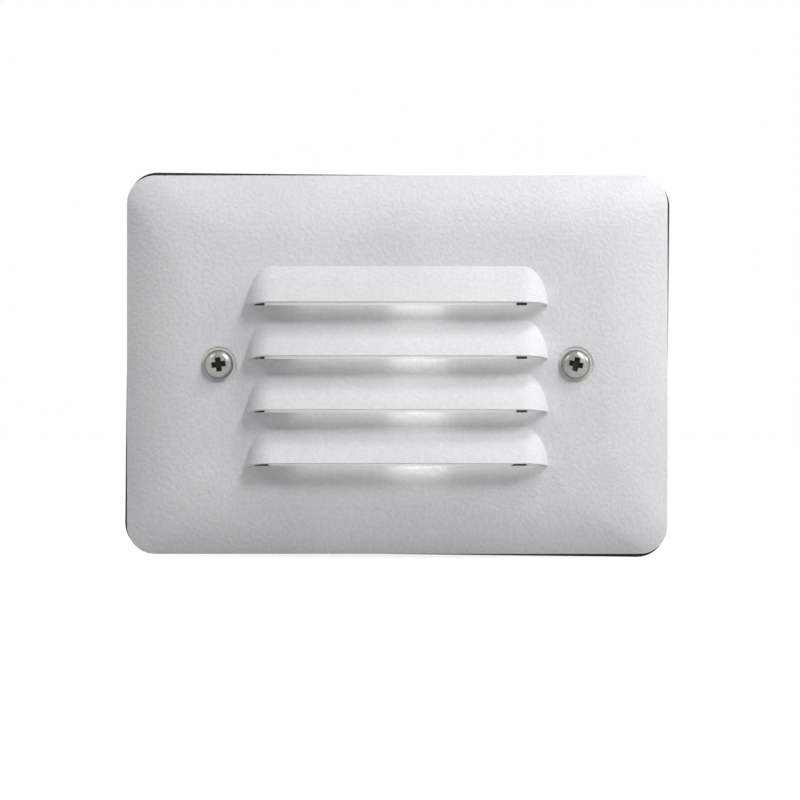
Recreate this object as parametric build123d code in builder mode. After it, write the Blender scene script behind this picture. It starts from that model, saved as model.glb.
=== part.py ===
from build123d import *

import os
from math import asin, atan, cos, radians, sin, sqrt

# A louvred step light: a domed faceplate over a cast box that is set into a wall.
#
# Sizes are millimetres. +Z is up, the light faces -Y and the wall's surface is Y = 0.
# A level is a distance in front of the wall's surface, so levels inside the wall are negative.

# Faceplate
plate_width = 127.0
plate_height = 88.9
plate_corner = 6.6
plate_wall = 2.2
rim_wall = 2.4
rim_height = 1.5
dome_reach = 16.0
dome_drop = 5.0
crown_corner = 12.0
dome_steps = 8

# Louvres
louvre_count = 4
louvre_pitch = 12.5
louvre_width = 70.4
louvre_height = 8.4
louvre_depth = 6.5
louvre_wall = 1.6
louvre_round = 6.0
sight_gap = 0.75
wedge_tail = 12.0

# Gasket behind the faceplate, which has turned a little
gasket_thickness = 1.6
gasket_spare = 0.12
gasket_turn = 0.65
gasket_rebate = 0.5
gasket_rebate_gap = 0.9
gasket_window_side_gap = 0.5
gasket_window_end_gap = 0.4
gasket_window_corner = 3.0
gasket_hole_gap = 0.7

# Faceplate screws and their seal washers
screw_spacing = 83.34
screw_radius = 1.7
screw_length = 16.0
screw_head_radius = 3.45
screw_head_height = 2.2
screw_point = 0.5
screw_point_angle = 30.0
screw_clearance = 0.3
spot_face_radius = 4.2
spot_face_depth = 0.4
seal_thickness = 0.5
seal_radius = 3.8
seal_gap = 0.05
post_radius = 4.0
post_root = 0.5
running_gap = 0.06

# Cross recess, as shares of the head it is cut in
recess_span_share = 1.16
recess_slot_share = 0.3
recess_core_share = 0.24
recess_depth_share = 0.62
head_round_share = 0.5

# Lens, its gasket and its retainer
lens_width = 70.0
lens_height = 51.2
lens_thickness = 2.4
lens_corner = 3.0
lens_gasket_thickness = 1.2
lens_window_width = 59.0
lens_window_height = 47.6
lens_window_corner = 2.0
retainer_thickness = 0.7
retainer_width = 73.0
retainer_margin = 0.4
retainer_screw_spacing = 48.0
retainer_screw_radius = 1.4
retainer_screw_length = 4.0
retainer_head_radius = 2.5
retainer_head_height = 1.5
retainer_post_radius = 2.6
retainer_post_gap = 0.4

# Housing in the wall
housing_mouth_gap = 0.8
housing_depth = 52.5
housing_wall = 2.6
housing_corner = 7.0
boss_radius = 5.0
boss_depth = 10.0
tapped_depth = 9.4
entry_radius = 9.9
entry_wall = 3.0
entry_length = 9.0
side_entry_x = 30.0
fixing_spacing = 76.0
fixing_hole_radius = 2.4
reflector_post_spacing = 44.0
reflector_post_radius = 3.4

# Closure plug in the lower entry
plug_head_radius = 12.0
plug_head_height = 2.0
plug_slot_width = 2.0
plug_slot_depth = 1.2
plug_gap = 0.05

# Ground screw
ground_x = 38.0
ground_z = 22.0
ground_boss_radius = 4.5
ground_boss_height = 5.0
ground_screw_radius = 2.35
ground_screw_length = 6.0
ground_washer_radius = 5.2
ground_washer_height = 0.8
ground_hex_radius = 4.6
ground_hex_height = 3.0

# Reflector tray
reflector_sheet = 0.8
reflector_setback = 1.5
reflector_width = 70.8
reflector_height = 58.0
reflector_side_lean = 1.9
reflector_top_lean = 7.0
reflector_depth = 29.8
reflector_corner = 5.0
reflector_screw_radius = 1.7
reflector_screw_length = 8.0
reflector_head_radius = 3.2
reflector_head_height = 1.8

# Socket and its bracket
lamp_level = -19.0
bracket_sheet = 1.2
bracket_gap = 0.6
bracket_half_height = 8.6
bracket_foot_margin = 4.5
bracket_top_gap = 1.0
socket_radius = 7.0
socket_gap = 0.1
socket_flange_radius = 8.5
socket_flange_thickness = 2.0
socket_nose_x = -7.0
socket_tail_length = 3.3
socket_hole_gap = 0.4
contact_thickness = 0.4
contact_width = 2.4
contact_offset_z = 2.5
contact_gap = 0.05
lead_radius = 1.2
lead_bore_depth = 6.0
lead_bend = 4.5
lead_wall_gap = 1.6
lead_tail_gap = 3.9
lead_level = -39.0

# Wire connectors on the leads
connector_z = 20.0
connector_x = -13.0
connector_length = 22.0
connector_mouth_radius = 5.5
connector_tip_radius = 3.6
connector_bore_radius = 3.2
connector_bore_depth = 12.0
connector_grip = 6.0

# Lamp
filament_x = 5.0
lamp_centre_length = 20.0
lamp_length = 38.0
bulb_radius = 8.0
bulb_neck_radius = 4.9
bulb_wall = 0.7
bulb_shoulder = 5.0
wedge_width = 9.5
wedge_thickness = 2.1
wedge_length = 8.6
wedge_gap = 0.15
nose_gap = 0.5
filament_radius = 0.45
filament_span = 6.0
lamp_wire_radius = 0.25

# Levels worked out from the sizes above
rim_level = gasket_thickness
crown_level = rim_level + rim_height + dome_drop
crown_back = crown_level - plate_wall
lens_gasket_back = crown_back - lens_gasket_thickness
lens_back = lens_gasket_back - lens_thickness
retainer_back = lens_back - retainer_thickness
head_seat = crown_level - spot_face_depth + seal_thickness
housing_front = gasket_rebate
housing_back = housing_front - housing_depth
floor_level = housing_back + housing_wall
reflector_front = housing_front - reflector_setback
reflector_back = reflector_front - reflector_depth
reflector_back_width = reflector_width - 2 * reflector_side_lean
reflector_back_height = reflector_height - 2 * reflector_top_lean
bracket_back = reflector_back - bracket_sheet

# Places worked out from the sizes above
flat_width = plate_width - 2 * dome_reach
flat_height = plate_height - 2 * dome_reach
louvre_span = (louvre_count - 1) * louvre_pitch + louvre_height
lip_heights = [louvre_span / 2 - louvre_height - i * louvre_pitch for i in range(louvre_count)]
retainer_post_z = lens_height / 2 + retainer_post_gap + retainer_post_radius
retainer_height = 2 * (retainer_post_z + retainer_post_radius + retainer_margin)
housing_height = retainer_height + 2 * housing_mouth_gap + 2 * housing_wall
gasket_window_width = retainer_width + 2 * gasket_window_side_gap
gasket_window_height = retainer_height + 2 * gasket_window_end_gap
side_entry_level = floor_level + entry_radius + entry_wall - housing_wall / 2
bracket_face = -reflector_width / 2 - bracket_gap
socket_seat = bracket_face - bracket_sheet
socket_tail = socket_seat - socket_flange_thickness - socket_tail_length
lead_bore_end = socket_tail + lead_bore_depth
housing_width = 2 * (lead_tail_gap + 2 * lead_radius + lead_wall_gap + housing_wall - socket_tail)
wedge_end = filament_x - lamp_centre_length
contact_offset = wedge_thickness / 2 + contact_gap + contact_thickness / 2


def dome_arc(reach, drop):
    """Radius and half angle of the arc that falls by drop over reach, level at its top."""
    radius = (reach**2 + drop**2) / (2 * drop)
    return radius, asin(reach / radius)


def domed_block(foot, straight, flat, corners, reach, drop):
    """A rounded rectangle that rises straight from foot, then curves in to a flat crown."""
    radius, half_angle = dome_arc(reach, drop)
    low_corner, high_corner = corners
    with BuildPart() as block:
        with BuildSketch(Plane.XZ.offset(foot)):
            RectangleRounded(flat[0] + 2 * reach, flat[1] + 2 * reach, low_corner)
        extrude(amount=straight)
        for step in range(dome_steps + 1):
            angle = half_angle * (1 - step / dome_steps)
            spread = radius * sin(angle)
            rise = drop - radius * (1 - cos(angle))
            corner = high_corner + (low_corner - high_corner) * spread / reach
            with BuildSketch(Plane.XZ.offset(foot + straight + rise)):
                RectangleRounded(flat[0] + 2 * spread, flat[1] + 2 * spread, corner)
        loft()
    return block.part


def wedge_block(half_width, face_level, underside, end_round, back):
    """A wedge above a louvre's lip at Z = 0. Its face slopes back from face_level and its ends are rounded."""
    tail = back - wedge_tail
    top = (face_level - tail) * louvre_height / louvre_depth
    with BuildPart() as block:
        with BuildSketch(Plane.YZ):
            with BuildLine():
                Polyline((-tail, -sight_gap), *underside, (-tail, top), close=True)
            make_face()
        extrude(amount=half_width, both=True)
        slope = Axis((0, 0, 0), (0, louvre_depth, louvre_height))
        fillet(block.edges().filter_by(slope), end_round)
        split(bisect_by=Plane.XZ.offset(back), keep=Keep.TOP)
    return block.part


def pan_screw(seat, head_radius, head_height, radius, length):
    """A pan-head screw with a cross recess. Its head stands on seat, along the seat's normal."""
    with BuildPart() as screw:
        with BuildSketch(seat):
            Circle(head_radius)
        extrude(amount=head_height)
        crown = screw.faces().sort_by(Axis(seat.origin, seat.z_dir))[-1]
        fillet(crown.edges(), head_height * head_round_share)
        with BuildSketch(seat.offset(head_height)):
            Rectangle(head_radius * recess_span_share, head_radius * recess_slot_share)
            Rectangle(head_radius * recess_slot_share, head_radius * recess_span_share)
            Circle(head_radius * recess_core_share)
        extrude(amount=-head_height * recess_depth_share, mode=Mode.SUBTRACT)
        with BuildSketch(seat):
            Circle(radius)
        extrude(amount=screw_point - length)
        with BuildSketch(seat.offset(screw_point - length)):
            Circle(radius)
        extrude(amount=-screw_point, taper=screw_point_angle)
    return screw.part


# Faceplate: domed, hollow at the back, with hooded louvres and posts for its screws and lens
outer_dome = domed_block(
    rim_level, rim_height, (flat_width, flat_height), (plate_corner, crown_corner), dome_reach, dome_drop
)
outer_radius = dome_arc(dome_reach, dome_drop)[0]
inner_radius = outer_radius - plate_wall
inner_reach = dome_reach - rim_wall
inner_drop = inner_radius - sqrt(inner_radius**2 - inner_reach**2)
inner_foot = rim_level - rim_height
inner_dome = domed_block(
    inner_foot,
    crown_back - inner_drop - inner_foot,
    (flat_width, flat_height),
    (plate_corner - rim_wall, crown_corner),
    inner_reach,
    inner_drop,
)

# A hood's wall, measured along Y through its sloping face
wall_along = louvre_wall / cos(atan(louvre_depth / louvre_height))
lip_level = crown_level + louvre_depth
cavity_level = lip_level - wall_along
cavity_foot = cavity_level + sight_gap * louvre_depth / louvre_height
hood = wedge_block(
    louvre_width / 2, lip_level, [(-crown_level, -sight_gap), (-lip_level, 0)], louvre_round, crown_back
)
hood_cavity = wedge_block(
    louvre_width / 2 - louvre_wall,
    cavity_level,
    [(-cavity_foot, -sight_gap)],
    louvre_round - louvre_wall,
    crown_back - post_root,
)

with BuildPart() as faceplate:
    add(outer_dome)
    add(inner_dome, mode=Mode.SUBTRACT)
    with Locations([(0, 0, z) for z in lip_heights]):
        add(hood)
    with Locations([(0, 0, z) for z in lip_heights]):
        add(hood_cavity, mode=Mode.SUBTRACT)
    with BuildSketch(Plane.XZ.offset(rim_level)):
        with GridLocations(screw_spacing, 1, 2, 1):
            Circle(post_radius)
    extrude(amount=crown_back + post_root - rim_level)
    with BuildSketch(Plane.XZ.offset(lens_back)):
        with GridLocations(retainer_screw_spacing, 2 * retainer_post_z, 2, 2):
            Circle(retainer_post_radius)
    extrude(amount=crown_back + post_root - lens_back)
    with BuildSketch(Plane.XZ.offset(lens_back)):
        with GridLocations(retainer_screw_spacing, 2 * retainer_post_z, 2, 2):
            Circle(retainer_screw_radius + running_gap)
    extrude(amount=crown_back - lens_back, mode=Mode.SUBTRACT)
    with BuildSketch(Plane.XZ.offset(crown_level - spot_face_depth)):
        with GridLocations(screw_spacing, 1, 2, 1):
            Circle(spot_face_radius)
    extrude(amount=plate_wall, mode=Mode.SUBTRACT)
    with BuildSketch(Plane.XZ.offset(rim_level)):
        with GridLocations(screw_spacing, 1, 2, 1):
            Circle(screw_radius + screw_clearance)
    extrude(amount=crown_level, mode=Mode.SUBTRACT)
faceplate.part.label = "faceplate"

# Gasket: seals on the wall outside the box and, with its rebate, on the box's front edge
turn_angle = radians(gasket_turn)
turned_wall = Plane(origin=(0, 0, 0), x_dir=(cos(turn_angle), 0, -sin(turn_angle)), z_dir=(0, -1, 0))
with BuildPart() as faceplate_gasket:
    with BuildSketch(turned_wall):
        RectangleRounded(
            plate_width + 2 * gasket_spare, plate_height + 2 * gasket_spare, plate_corner + gasket_spare
        )
        RectangleRounded(
            gasket_window_width, gasket_window_height, gasket_window_corner, mode=Mode.SUBTRACT
        )
        with GridLocations(screw_spacing, 1, 2, 1):
            Circle(screw_radius + gasket_hole_gap, mode=Mode.SUBTRACT)
    extrude(amount=gasket_thickness)
    with BuildSketch(turned_wall):
        RectangleRounded(
            housing_width + 2 * gasket_rebate_gap,
            housing_height + 2 * gasket_rebate_gap,
            housing_corner + gasket_rebate_gap,
        )
    extrude(amount=gasket_rebate, mode=Mode.SUBTRACT)
faceplate_gasket.part.label = "faceplate_gasket"

# Faceplate screws, each with a seal washer in the spot face under its head
cover_screw = pan_screw(
    Plane.XZ.offset(head_seat), screw_head_radius, screw_head_height, screw_radius, screw_length
)
with BuildPart() as seal:
    with BuildSketch(Plane.XZ.offset(head_seat)):
        Circle(seal_radius)
        Circle(screw_radius + seal_gap, mode=Mode.SUBTRACT)
    extrude(amount=-seal_thickness)

with BuildPart() as left_screw:
    with Locations((-screw_spacing / 2, 0, 0)):
        add(cover_screw)
left_screw.part.label = "left_screw"

with BuildPart() as right_screw:
    with Locations((screw_spacing / 2, 0, 0)):
        add(cover_screw)
right_screw.part.label = "right_screw"

with BuildPart() as left_seal_washer:
    with Locations((-screw_spacing / 2, 0, 0)):
        add(seal.part)
left_seal_washer.part.label = "left_seal_washer"

with BuildPart() as right_seal_washer:
    with Locations((screw_spacing / 2, 0, 0)):
        add(seal.part)
right_seal_washer.part.label = "right_seal_washer"

# Lens behind the louvres, on its gasket and under its retainer
with BuildPart() as lens_gasket:
    with BuildSketch(Plane.XZ.offset(lens_gasket_back)):
        RectangleRounded(lens_width, lens_height, lens_corner)
        RectangleRounded(lens_window_width, lens_window_height, lens_window_corner, mode=Mode.SUBTRACT)
    extrude(amount=lens_gasket_thickness)
lens_gasket.part.label = "lens_gasket"

with BuildPart() as lens:
    with BuildSketch(Plane.XZ.offset(lens_back)):
        RectangleRounded(lens_width, lens_height, lens_corner)
    extrude(amount=lens_thickness)
lens.part.label = "lens"

with BuildPart() as lens_retainer:
    with BuildSketch(Plane.XZ.offset(retainer_back)):
        RectangleRounded(retainer_width, retainer_height, lens_corner)
        RectangleRounded(lens_window_width, lens_window_height, lens_window_corner, mode=Mode.SUBTRACT)
        with GridLocations(retainer_screw_spacing, 2 * retainer_post_z, 2, 2):
            Circle(retainer_screw_radius + screw_clearance, mode=Mode.SUBTRACT)
    extrude(amount=retainer_thickness)
lens_retainer.part.label = "lens_retainer"

retainer_screw = pan_screw(
    Plane(origin=(0, -retainer_back, 0), x_dir=(1, 0, 0), z_dir=(0, 1, 0)),
    retainer_head_radius,
    retainer_head_height,
    retainer_screw_radius,
    retainer_screw_length,
)
with BuildPart() as retainer_screws:
    with Locations(
        [(sx * retainer_screw_spacing / 2, 0, sz * retainer_post_z) for sx in (-1, 1) for sz in (-1, 1)]
    ):
        add(retainer_screw)
retainer_screws.part.label = "retainer_screws"

# Housing: an open cast box with screw bosses, two conduit entries and posts for the reflector
web_length = (housing_width - housing_wall - screw_spacing) / 2
left_post_top = bracket_back
right_post_top = reflector_back
with BuildPart() as housing:
    with BuildSketch(Plane.XZ.offset(housing_back)):
        RectangleRounded(housing_width, housing_height, housing_corner)
    extrude(amount=housing_depth)
    with BuildSketch(Plane.XZ.offset(floor_level)):
        RectangleRounded(
            housing_width - 2 * housing_wall, housing_height - 2 * housing_wall, housing_corner - housing_wall
        )
    extrude(amount=housing_depth, mode=Mode.SUBTRACT)
    with BuildSketch(Plane.XZ.offset(housing_front)):
        with GridLocations(screw_spacing, 1, 2, 1):
            Circle(boss_radius)
        with GridLocations(screw_spacing + web_length, 1, 2, 1):
            Rectangle(web_length, 2 * boss_radius)
    extrude(amount=-boss_depth)
    with BuildSketch(Plane.XZ.offset(housing_front)):
        with GridLocations(screw_spacing, 1, 2, 1):
            Circle(screw_radius + running_gap)
    extrude(amount=-tapped_depth, mode=Mode.SUBTRACT)
    with BuildSketch(Plane.XZ.offset(housing_back)):
        Circle(entry_radius + entry_wall)
    extrude(amount=entry_length)
    with BuildSketch(Plane.XZ.offset(housing_back)):
        Circle(entry_radius)
        with GridLocations(fixing_spacing, 1, 2, 1):
            Circle(fixing_hole_radius)
    extrude(amount=entry_length, mode=Mode.SUBTRACT)
    with BuildSketch(Plane.XY.offset(-housing_height / 2)):
        with Locations((side_entry_x, -side_entry_level)):
            Circle(entry_radius + entry_wall)
    extrude(amount=entry_length)
    with BuildSketch(Plane.XY.offset(-housing_height / 2)):
        with Locations((side_entry_x, -side_entry_level)):
            Circle(entry_radius)
    extrude(amount=entry_length, mode=Mode.SUBTRACT)
    with BuildSketch(Plane.XZ.offset(floor_level)):
        with Locations((-reflector_post_spacing / 2, 0)):
            Circle(reflector_post_radius)
    extrude(amount=left_post_top - floor_level)
    with BuildSketch(Plane.XZ.offset(floor_level)):
        with Locations((reflector_post_spacing / 2, 0)):
            Circle(reflector_post_radius)
    extrude(amount=right_post_top - floor_level)
    with BuildSketch(Plane.XZ.offset(right_post_top)):
        with GridLocations(reflector_post_spacing, 1, 2, 1):
            Circle(reflector_screw_radius + running_gap)
    extrude(amount=-reflector_screw_length, mode=Mode.SUBTRACT)
    with BuildSketch(Plane.XZ.offset(floor_level)):
        with Locations((ground_x, ground_z)):
            Circle(ground_boss_radius)
    extrude(amount=ground_boss_height)
    with BuildSketch(Plane.XZ.offset(floor_level + ground_boss_height)):
        with Locations((ground_x, ground_z)):
            Circle(ground_screw_radius + running_gap)
    extrude(amount=-ground_screw_length, mode=Mode.SUBTRACT)
housing.part.label = "housing"

# Plug in the lower entry, with a driver slot in its head
with BuildPart() as closure_plug:
    with BuildSketch(Plane.XY.offset(-housing_height / 2)):
        with Locations((side_entry_x, -side_entry_level)):
            Circle(entry_radius - plug_gap)
    extrude(amount=entry_length)
    with BuildSketch(Plane.XY.offset(-housing_height / 2)):
        with Locations((side_entry_x, -side_entry_level)):
            Circle(plug_head_radius)
    extrude(amount=-plug_head_height)
    with BuildSketch(Plane.XY.offset(-housing_height / 2 - plug_head_height)):
        with Locations((side_entry_x, -side_entry_level)):
            Rectangle(2 * plug_head_radius, plug_slot_width)
    extrude(amount=plug_slot_depth, mode=Mode.SUBTRACT)
closure_plug.part.label = "closure_plug"

# Ground screw: a hexagon head with a washer under it
ground_seat = floor_level + ground_boss_height
with BuildPart() as ground_screw:
    with BuildSketch(Plane.XZ.offset(ground_seat)):
        with Locations((ground_x, ground_z)):
            Circle(ground_washer_radius)
    extrude(amount=ground_washer_height)
    with BuildSketch(Plane.XZ.offset(ground_seat + ground_washer_height)):
        with Locations((ground_x, ground_z)):
            RegularPolygon(ground_hex_radius, 6)
    extrude(amount=ground_hex_height)
    with BuildSketch(Plane.XZ.offset(ground_seat)):
        with Locations((ground_x, ground_z)):
            Circle(ground_screw_radius)
    extrude(amount=-ground_screw_length + running_gap)
ground_screw.part.label = "ground_screw"

# Reflector: a tray behind the lamp, with a hole in its left side for the socket
with BuildPart() as reflector:
    with BuildSketch(Plane.XZ.offset(reflector_back)):
        RectangleRounded(reflector_back_width, reflector_back_height, reflector_corner)
    with BuildSketch(Plane.XZ.offset(reflector_front)):
        RectangleRounded(reflector_width, reflector_height, reflector_corner)
    loft(ruled=True)
    with BuildSketch(Plane.XZ.offset(reflector_back + reflector_sheet)):
        RectangleRounded(
            reflector_back_width - 2 * reflector_sheet,
            reflector_back_height - 2 * reflector_sheet,
            reflector_corner - reflector_sheet,
        )
    with BuildSketch(Plane.XZ.offset(reflector_front)):
        RectangleRounded(
            reflector_width - 2 * reflector_sheet,
            reflector_height - 2 * reflector_sheet,
            reflector_corner - reflector_sheet,
        )
    loft(ruled=True, mode=Mode.SUBTRACT)
    with BuildSketch(Plane.XZ.offset(reflector_back)):
        with GridLocations(reflector_post_spacing, 1, 2, 1):
            Circle(reflector_screw_radius + screw_clearance)
    extrude(amount=reflector_sheet, mode=Mode.SUBTRACT)
    with BuildSketch(Plane.YZ.offset(-reflector_width / 2)):
        with Locations((-lamp_level, 0)):
            Circle(socket_radius + socket_hole_gap)
    extrude(amount=reflector_width / 2, mode=Mode.SUBTRACT)
reflector.part.label = "reflector"

reflector_screw = pan_screw(
    Plane.XZ.offset(reflector_back + reflector_sheet),
    reflector_head_radius,
    reflector_head_height,
    reflector_screw_radius,
    reflector_screw_length,
)
with BuildPart() as reflector_screws:
    with Locations([(side * reflector_post_spacing / 2, 0, 0) for side in (-1, 1)]):
        add(reflector_screw)
reflector_screws.part.label = "reflector_screws"

# Bracket: a foot under the reflector and a leg that carries the socket
foot_end = -reflector_post_spacing / 2 + bracket_foot_margin
leg_top = housing_front - boss_depth - bracket_top_gap
with BuildPart() as socket_bracket:
    with BuildSketch(Plane.XY):
        with BuildLine():
            Polyline(
                (foot_end, -reflector_back),
                (bracket_face, -reflector_back),
                (bracket_face, -leg_top),
                (socket_seat, -leg_top),
                (socket_seat, -bracket_back),
                (foot_end, -bracket_back),
                close=True,
            )
        make_face()
    extrude(amount=bracket_half_height, both=True)
    with BuildSketch(Plane.YZ.offset(socket_seat)):
        with Locations((-lamp_level, 0)):
            Circle(socket_radius + socket_gap)
    extrude(amount=bracket_sheet, mode=Mode.SUBTRACT)
    with BuildSketch(Plane.XZ.offset(bracket_back)):
        with Locations((-reflector_post_spacing / 2, 0)):
            Circle(reflector_screw_radius + screw_clearance)
    extrude(amount=bracket_sheet, mode=Mode.SUBTRACT)
socket_bracket.part.label = "socket_bracket"

# Socket: a flanged body with a slot for the lamp's wedge and a channel for each contact
slot_depth = socket_nose_x - wedge_end + wedge_gap
with BuildPart() as socket_body:
    with BuildSketch(Plane.YZ.offset(socket_tail)):
        with Locations((-lamp_level, 0)):
            Circle(socket_radius)
    extrude(amount=socket_nose_x - socket_tail)
    with BuildSketch(Plane.YZ.offset(socket_seat)):
        with Locations((-lamp_level, 0)):
            Circle(socket_flange_radius)
    extrude(amount=-socket_flange_thickness)
    with BuildSketch(Plane.YZ.offset(socket_nose_x)):
        with Locations((-lamp_level, 0)):
            Rectangle(wedge_thickness + 2 * wedge_gap, wedge_width + 2 * wedge_gap)
    extrude(amount=-slot_depth, mode=Mode.SUBTRACT)
    with BuildSketch(Plane.YZ.offset(socket_nose_x)):
        for side in (-1, 1):
            with Locations((-lamp_level + side * contact_offset, side * contact_offset_z)):
                Rectangle(contact_thickness + 2 * contact_gap, contact_width + 2 * contact_gap)
    extrude(amount=lead_bore_end - socket_nose_x, mode=Mode.SUBTRACT)
    with BuildSketch(Plane.YZ.offset(socket_tail)):
        for side in (-1, 1):
            with Locations((-lamp_level + side * contact_offset, side * contact_offset_z)):
                Circle(lead_radius + socket_gap)
    extrude(amount=lead_bore_depth, mode=Mode.SUBTRACT)
socket_body.part.label = "socket_body"

with BuildPart() as socket_contacts:
    with BuildSketch(Plane.YZ.offset(lead_bore_end)):
        for side in (-1, 1):
            with Locations((-lamp_level + side * contact_offset, side * contact_offset_z)):
                Rectangle(contact_thickness, contact_width)
    extrude(amount=socket_nose_x - nose_gap - lead_bore_end)
socket_contacts.part.label = "socket_contacts"

# Leads from the socket, round the reflector and into the wire connectors
lead_x = -housing_width / 2 + housing_wall + lead_wall_gap + lead_radius
with BuildPart() as socket_leads:
    for side in (-1, 1):
        start_y = -lamp_level + side * contact_offset
        start_z = side * contact_offset_z
        with BuildLine() as route:
            FilletPolyline(
                (lead_bore_end, start_y, start_z),
                (lead_x, start_y, start_z),
                (lead_x, -lead_level, start_z),
                (lead_x + 3 * lead_bend, -lead_level, side * connector_z),
                (connector_x + connector_grip, -lead_level, side * connector_z),
                radius=lead_bend,
            )
        with BuildSketch(Plane(origin=route.line @ 0, z_dir=route.line % 0)):
            Circle(lead_radius)
        sweep(path=route.line)
socket_leads.part.label = "socket_leads"

# Wire connectors: tapered caps, open towards the leads
with BuildPart() as wire_connectors:
    for side in (-1, 1):
        centre = (-lead_level, side * connector_z)
        with BuildSketch(Plane.YZ.offset(connector_x)):
            with Locations(centre):
                Circle(connector_mouth_radius)
        with BuildSketch(Plane.YZ.offset(connector_x + connector_length)):
            with Locations(centre):
                Circle(connector_tip_radius)
        loft(ruled=True)
        with BuildSketch(Plane.YZ.offset(connector_x)):
            with Locations(centre):
                Circle(connector_bore_radius)
        extrude(amount=connector_bore_depth, mode=Mode.SUBTRACT)
wire_connectors.part.label = "wire_connectors"

# Lamp: a round-nosed glass bulb on a flat pinched wedge, with its wires and filament inside
neck_x = wedge_end + wedge_length
tip_x = wedge_end + lamp_length
lamp_plane = Plane((0, -lamp_level, 0))


def bulb_profile(radius, neck_radius, start_x, end_x):
    """Half of the bulb's outline, above its axis."""
    shoulder_x = start_x + bulb_shoulder
    nose_x = end_x - radius
    Line((start_x, 0), (start_x, neck_radius))
    Spline((start_x, neck_radius), (shoulder_x, radius), tangents=((1, 0), (1, 0)))
    Line((shoulder_x, radius), (nose_x, radius))
    JernArc((nose_x, radius), (1, 0), radius, -90)
    Line((end_x, 0), (start_x, 0))


with BuildPart() as lamp_bulb:
    with BuildSketch(lamp_plane):
        with BuildLine():
            bulb_profile(bulb_radius, bulb_neck_radius, neck_x, tip_x)
        make_face()
    revolve(axis=Axis((0, -lamp_level, 0), (1, 0, 0)))
    with BuildSketch(lamp_plane):
        with BuildLine():
            bulb_profile(
                bulb_radius - bulb_wall, bulb_neck_radius - bulb_wall, neck_x + bulb_wall, tip_x - bulb_wall
            )
        make_face()
    revolve(axis=Axis((0, -lamp_level, 0), (1, 0, 0)), mode=Mode.SUBTRACT)
    with BuildSketch(Plane.YZ.offset(wedge_end)):
        with Locations((-lamp_level, 0)):
            Rectangle(wedge_thickness, wedge_width)
    extrude(amount=wedge_length + bulb_wall / 2)
lamp_bulb.part.label = "lamp_bulb"

with BuildPart() as lamp_wires:
    with BuildSketch(Plane.YZ.offset(neck_x + bulb_wall)):
        for side in (-1, 1):
            with Locations((-lamp_level, side * (filament_span / 2 - lamp_wire_radius))):
                Circle(lamp_wire_radius)
    extrude(amount=filament_x - filament_radius - neck_x - bulb_wall)
lamp_wires.part.label = "lamp_wires"

with BuildPart() as lamp_filament:
    with BuildSketch(Plane.XY.offset(-filament_span / 2)):
        with Locations((filament_x, -lamp_level)):
            Circle(filament_radius)
    extrude(amount=filament_span)
lamp_filament.part.label = "lamp_filament"

pieces = (
    faceplate,
    faceplate_gasket,
    left_screw,
    right_screw,
    left_seal_washer,
    right_seal_washer,
    lens_gasket,
    lens,
    lens_retainer,
    retainer_screws,
    housing,
    closure_plug,
    ground_screw,
    reflector,
    reflector_screws,
    socket_bracket,
    socket_body,
    socket_contacts,
    socket_leads,
    wire_connectors,
    lamp_bulb,
    lamp_wires,
    lamp_filament,
)
os.makedirs("parts", exist_ok=True)
for piece in pieces:
    export_step(piece.part, f"parts/{piece.part.label}.step")
    print(piece.part.label, len(piece.part.solids()), round(piece.part.volume, 1))
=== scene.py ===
from math import pi, radians

import bmesh
import bpy
from mathutils import Matrix, Vector


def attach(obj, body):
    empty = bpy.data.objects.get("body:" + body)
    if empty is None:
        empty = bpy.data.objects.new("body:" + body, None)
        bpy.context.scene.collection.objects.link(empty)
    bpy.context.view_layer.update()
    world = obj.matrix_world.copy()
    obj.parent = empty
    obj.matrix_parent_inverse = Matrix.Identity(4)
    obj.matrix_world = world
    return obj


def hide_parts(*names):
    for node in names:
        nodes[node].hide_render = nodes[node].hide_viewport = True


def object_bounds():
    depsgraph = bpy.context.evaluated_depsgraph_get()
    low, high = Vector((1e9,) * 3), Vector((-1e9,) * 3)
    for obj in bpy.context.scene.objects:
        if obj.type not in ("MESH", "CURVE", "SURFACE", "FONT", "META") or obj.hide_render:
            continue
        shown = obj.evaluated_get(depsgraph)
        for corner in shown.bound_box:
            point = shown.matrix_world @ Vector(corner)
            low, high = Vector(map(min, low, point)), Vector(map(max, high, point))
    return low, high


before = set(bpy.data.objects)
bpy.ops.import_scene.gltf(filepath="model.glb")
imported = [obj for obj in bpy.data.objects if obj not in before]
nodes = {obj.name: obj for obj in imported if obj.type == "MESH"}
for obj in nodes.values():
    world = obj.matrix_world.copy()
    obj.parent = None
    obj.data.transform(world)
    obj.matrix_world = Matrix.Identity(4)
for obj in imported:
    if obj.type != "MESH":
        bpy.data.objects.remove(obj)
scene = bpy.context.scene
cadBox = [list(corner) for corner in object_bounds()]
print("frame loaded")


# Node helpers: a value that is another node's output is linked, anything else is set

def placeNode(tree, kind, values, **settings):
    node = tree.nodes.new(kind)
    for name, value in settings.items():
        setattr(node, name, value)
    for name, value in values.items():
        if isinstance(value, bpy.types.NodeSocket):
            tree.links.new(value, node.inputs[name])
        else:
            node.inputs[name].default_value = value
    return node


def startMaterial(name, colour, roughness, metallic=0.0, **extra):
    material = bpy.data.materials.new(name)
    material.use_nodes = True
    shader = material.node_tree.nodes["Principled BSDF"]
    shader.inputs["Base Color"].default_value = (*colour, 1)
    shader.inputs["Roughness"].default_value = roughness
    shader.inputs["Metallic"].default_value = metallic
    for socket, value in extra.items():
        shader.inputs[socket.replace("_", " ")].default_value = value
    material.diffuse_color = (*colour, 1)
    return material, material.node_tree, shader


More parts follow.
